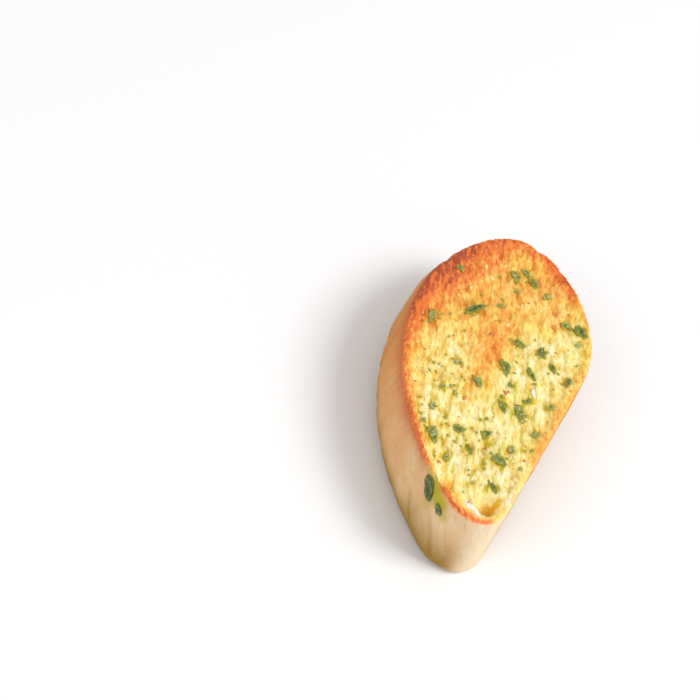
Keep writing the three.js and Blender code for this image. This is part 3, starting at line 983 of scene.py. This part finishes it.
def place_on_face(draw, reach):
    """A place on the toasted face, within a share of the way to the rim."""
    rim, _ = rim_at(np.array([draw.uniform(-math.pi, math.pi)]))
    return rim[0] * math.sqrt(draw.random()) * reach


small_leaf_bits = [model_leaf_bit(f"small_leaf_{seed}", seed, small_leaf_cells, 1.0) for seed in range(5)]
leaf_bits = [model_leaf_bit(f"leaf_{seed}", seed, leaf_cells, 1.0) for seed in range(10, 15)]
whole_leaf = model_leaf_bit("whole_leaf", 20, leaf_cells, 0.2)
draw = random.Random(12)
parsley_bits = []
stains = [  # x, y, reach, amount; first the wide ones between the bits
    (-33, -8, 10, 0.6),
    (-30, -17, 10, 0.75),
    (-41, -12, 6, 0.6),
    (-40, -21, 6, 0.5),
    (-14, -12, 7, 0.35),
    (-3, -13, 6, 0.3),
]


def lay_small_leaf(x, y, size, tone):
    master = draw.choice(small_leaf_bits)
    bit = copy_piece(master, tone=min(1, max(0, tone)), fresh=draw.uniform(0.3, 1))
    shape = (size, size * draw.uniform(0.4, 0.8), size)
    lay_on_face(bit, x, y, draw.uniform(0, 360), shape, leaf_follow, leaf_lift)
    parsley_bits.append(bit)


loose_parsley = [(*spot, draw.uniform(0.55, 1)) for spot in scattered_parsley]
for x, y, length, width, turn, tone in main_parsley + loose_parsley:
    bit = copy_piece(draw.choice(leaf_bits), tone=tone, fresh=0)
    shape = (length, width, leaf_curl * width)
    lay_on_face(bit, x, y, turn, shape, leaf_follow, leaf_lift)
    parsley_bits.append(bit)
    stains.append((x, y, length / 2 + stain_margin, 1.0))
    for _ in range(round(length / 1.5)):
        near_x = x + draw.gauss(0, length / 3.5)
        near_y = y + draw.gauss(0, length / 3.5)
        lay_small_leaf(near_x, near_y, draw.uniform(0.6, 1.4), tone + draw.uniform(-0.2, 0.4))
for x, y, height, length, width, turn, tone in wall_parsley:
    rim, _ = rim_at(np.array([math.atan2(y / face_height, x / face_length)]))
    bit = copy_piece(whole_leaf, tone=tone, fresh=0)
    spot = np.array([*rim[0], height])
    shape = (length, width, wall_leaf_curl * width)
    lay_on_bread(bit, spot, wall_axes(x, y, turn), shape, 1, wall_leaf_lift)
    parsley_bits.append(bit)
for _ in range(leaf_crumb_count):
    x, y = place_on_face(draw, leaf_crumb_reach)
    size = 0.5 + 1.1 * draw.random() ** 2.5
    fewer = 0.35 + x / 80  # towards the toasted wide end
    clear = math.hypot(x - deep_hollow[0], y - deep_hollow[1]) > deep_hollow_clear
    if draw.random() > fewer and clear:
        lay_small_leaf(x, y, size, draw.uniform(0.4, 1))
        stains.append((x, y, size / 2 + crumb_stain_margin, 0.7))
for master in [*small_leaf_bits, *leaf_bits, whole_leaf]:
    bpy.data.objects.remove(master)
parsley = join_pieces(parsley_bits, "parsley")
skin = parsley.modifiers.new("leaf thickness", "SOLIDIFY")
skin.thickness = leaf_thickness * mm
skin.offset = 0
bpy.ops.object.modifier_apply(modifier=skin.name)


def parsley_finish():
    finish = Finish("parsley")
    vary = finish.noise(850, 3, 0.65)
    tone = finish.math("ADD", finish.value("tone"), finish.spread(vary, 2.5))
    # The pale grey greens at the top, reached through the noise, are a painted wet sheen on the leaves.
    color = finish.ramp(
        tone,
        (0.0, linear(52, 66, 32)),
        (0.3, linear(84, 98, 42)),
        (0.55, linear(120, 132, 50)),
        (0.8, linear(150, 158, 104)),
        (1.0, linear(184, 190, 156)),
    )
    fresh = finish.math("MULTIPLY", finish.value("fresh"), 0.85)
    color = finish.mix(fresh, color, linear(176, 180, 36))
    wet = finish.math("MULTIPLY", finish.value("fringe"), 0.7)
    color = finish.mix(wet, color, linear(172, 168, 44))
    finish.join(color, finish.shader.inputs["Base Color"])
    finish.shader.inputs["Roughness"].default_value = 0.35
    finish.shader.inputs["Coat Weight"].default_value = 0.15
    finish.shader.inputs["Coat Roughness"].default_value = 0.2
    finish.soft(0.15, (0.5, 1.0, 0.2), 0.0006)
    finish.rough_surface(vary, 0.6, 0.0004)
    return finish.material


parsley.data.materials.append(parsley_finish())
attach(parsley, "root")
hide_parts("garlic_bread_slice")


# The butter round each bit is green with its juice, and stains the crumb.

herb = np.zeros(len(points))
for x, y, reach, amount in stains:
    away = np.hypot(face_x - x, face_y - y)
    herb[on_face] = np.maximum(herb[on_face], amount * bump(away, reach))
for x, y, level, reach, amount in drip:
    away = np.hypot(np.hypot(wall_rim[:, 0] - x, wall_rim[:, 1] - y), wall_height - level)
    herb[on_wall] = np.maximum(herb[on_wall], amount * bump(away, reach))
give_values(bread, "herb", herb)


# ---------------------------------------------------------------- garlic
# Garlic chopped fine and baked in the butter until it is soft, pale and half clear. The bits
# are small lumps with worn corners, sunk a little into the crumb.

def model_lump(name, seed):
    """A chopped lump, one unit across, with flattened sides."""
    draw = random.Random(seed)
    bpy.ops.object.select_all(action="DESELECT")
    bpy.ops.mesh.primitive_ico_sphere_add(subdivisions=2, radius=0.5)
    lump = bpy.context.object
    lump.name = name
    points = read_points(lump)
    for _ in range(6):
        cut = np.array([draw.gauss(0, 1) for _ in range(3)])
        cut /= np.linalg.norm(cut)
        level = draw.uniform(0.3, 0.42)
        beyond = np.maximum(0, points @ cut - level)
        points -= 0.85 * beyond[:, None] * cut
    write_points(lump, points)
    return lump


garlic_height = 1.1
garlic_follow = 0.3
garlic_lift = 0.05
garlic_crumb_count = 34
garlic_crumb_reach = 0.9
lumps = [model_lump(f"lump_{seed}", seed) for seed in range(3)]
garlic_bits = []
for x, y, length, width, turn in main_garlic + scattered_garlic:
    # The long bits are near white; on the deep hollow's ridge that white is a painted highlight.
    bit = copy_piece(draw.choice(lumps), tone=0.95 if length > 4 else draw.uniform(0, 0.3))
    shape = (length, width, garlic_height)
    lay_on_face(bit, x, y, turn, shape, garlic_follow, garlic_lift)
    garlic_bits.append(bit)
for _ in range(garlic_crumb_count):
    x, y = place_on_face(draw, garlic_crumb_reach)
    size = 0.7 + 1.2 * draw.random() ** 2
    bit = copy_piece(draw.choice(lumps), tone=0.4 * draw.random())
    shape = (size, size * draw.uniform(0.5, 0.9), size * 0.5)
    lay_on_face(bit, x, y, draw.uniform(0, 360), shape, garlic_follow, 0)
    garlic_bits.append(bit)
garlic = join_pieces(garlic_bits, "garlic")


def garlic_finish():
    finish = Finish("garlic")
    tone = finish.value("tone")
    color = finish.ramp(
        tone,
        (0.0, linear(248, 206, 118)),
        (0.6, linear(250, 230, 168)),
        (1.0, linear(254, 250, 232)),
    )
    finish.join(color, finish.shader.inputs["Base Color"])
    finish.shader.inputs["Roughness"].default_value = 0.3
    finish.soft(0.3, (1.0, 0.8, 0.5), 0.001)
    return finish.material


garlic.data.materials.append(garlic_finish())
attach(garlic, "root")
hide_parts("garlic_bread_slice")


# ---------------------------------------------------------------- spice flakes
# Flakes of dried red pepper and a few scorched crumbs, from half a millimetre to two across.
# They are the lumps of the garlic again, pressed flat.

main_flakes = [  # x, y, size
    (13.3, 3.0, 2.2),
    (29.7, -12.9, 2.2),
    (19.5, -17.8, 1.4),
    (-5.9, -10.7, 2.0),
    (-15.9, -1.1, 2.2),
    (-29.0, -14.4, 1.6),
    (-43.4, -5.0, 1.8),
    (-26.8, -26.5, 1.2),
    (7.2, -28.0, 1.3),
    (37.4, -15.0, 1.5),
]
flake_follow = 0.6
flake_crumb_count = 30
flake_crumb_reach = 0.94
flake_crumb_follow = 0.3
flake_crumb_lift = 0.1
flake_bits = []
for x, y, size in main_flakes:
    bit = copy_piece(draw.choice(lumps), tone=draw.uniform(0.3, 1))
    shape = (size, size * draw.uniform(0.5, 0.8), 0.35 * size)
    lay_on_face(bit, x, y, draw.uniform(0, 360), shape, flake_follow, 0)
    flake_bits.append(bit)
for _ in range(flake_crumb_count):
    x, y = place_on_face(draw, flake_crumb_reach)
    size = draw.uniform(0.4, 0.9)
    bit = copy_piece(draw.choice(lumps), tone=draw.random())
    shape = (size * 1.4, size, 0.5 * size)
    lay_on_face(bit, x, y, draw.uniform(0, 360), shape, flake_crumb_follow, flake_crumb_lift)
    flake_bits.append(bit)
for master in lumps:
    bpy.data.objects.remove(master)
spice = join_pieces(flake_bits, "spice_flakes")


def spice_finish():
    finish = Finish("spice_flakes")
    vary = finish.noise(900, 3, 0.65)
    color = finish.ramp(
        finish.math("ADD", finish.value("tone"), finish.spread(vary, 3)),
        (0.0, linear(242, 176, 84)),
        (0.5, linear(230, 146, 70)),
        (1.0, linear(200, 112, 66)),
    )
    finish.join(color, finish.shader.inputs["Base Color"])
    finish.shader.inputs["Roughness"].default_value = 0.5
    finish.rough_surface(vary, 0.6, 0.0004)
    return finish.material


spice.data.materials.append(spice_finish())
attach(spice, "root")
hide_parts("garlic_bread_slice")


# ---------------------------------------------------------------- floor, light and camera
# A pale floor under a large soft light from behind and right of the slice, with a weaker
# fill, and the camera looking down on the slice from its narrow end.

bpy.ops.mesh.primitive_plane_add(size=3)
floor = bpy.context.object
floor.name = "floor"
floor_finish = Finish("floor")
floor_finish.shader.inputs["Base Color"].default_value = (0.93, 0.93, 0.93, 1)
floor_finish.shader.inputs["Roughness"].default_value = 0.7
floor.data.materials.append(floor_finish.material)

world = bpy.data.worlds.new("studio")
bpy.context.scene.world = world
world.use_nodes = True
world.node_tree.nodes["Background"].inputs["Color"].default_value = (1, 1, 1, 1)
world.node_tree.nodes["Background"].inputs["Strength"].default_value = 0.56


def add_light(name, place, aim, size, power):
    light = bpy.data.lights.new(name, "AREA")
    light.size = size
    light.energy = power
    lamp = bpy.data.objects.new(name, light)
    lamp.location = place
    lamp.rotation_euler = (Vector(aim) - Vector(place)).to_track_quat("-Z", "Y").to_euler()
    bpy.context.scene.collection.objects.link(lamp)


add_light("key", (0.2, -1.3, 1.6), (0, 0, 0), 0.9, 26.0)
add_light("fill", (-1.2, 0.6, 1.0), (0, 0, 0), 1.0, 6.0)

camera_data = bpy.data.cameras.new("camera")
camera_data.lens = 85
camera_data.sensor_width = 36
camera = bpy.data.objects.new("camera", camera_data)
camera.location = (-0.35078, -0.03148, 0.40999)
camera.rotation_euler = [math.radians(angle) for angle in (39.195, -13.860, -62.164)]
bpy.context.scene.collection.objects.link(camera)
bpy.context.scene.camera = camera
bpy.context.scene.view_settings.view_transform = "Standard"
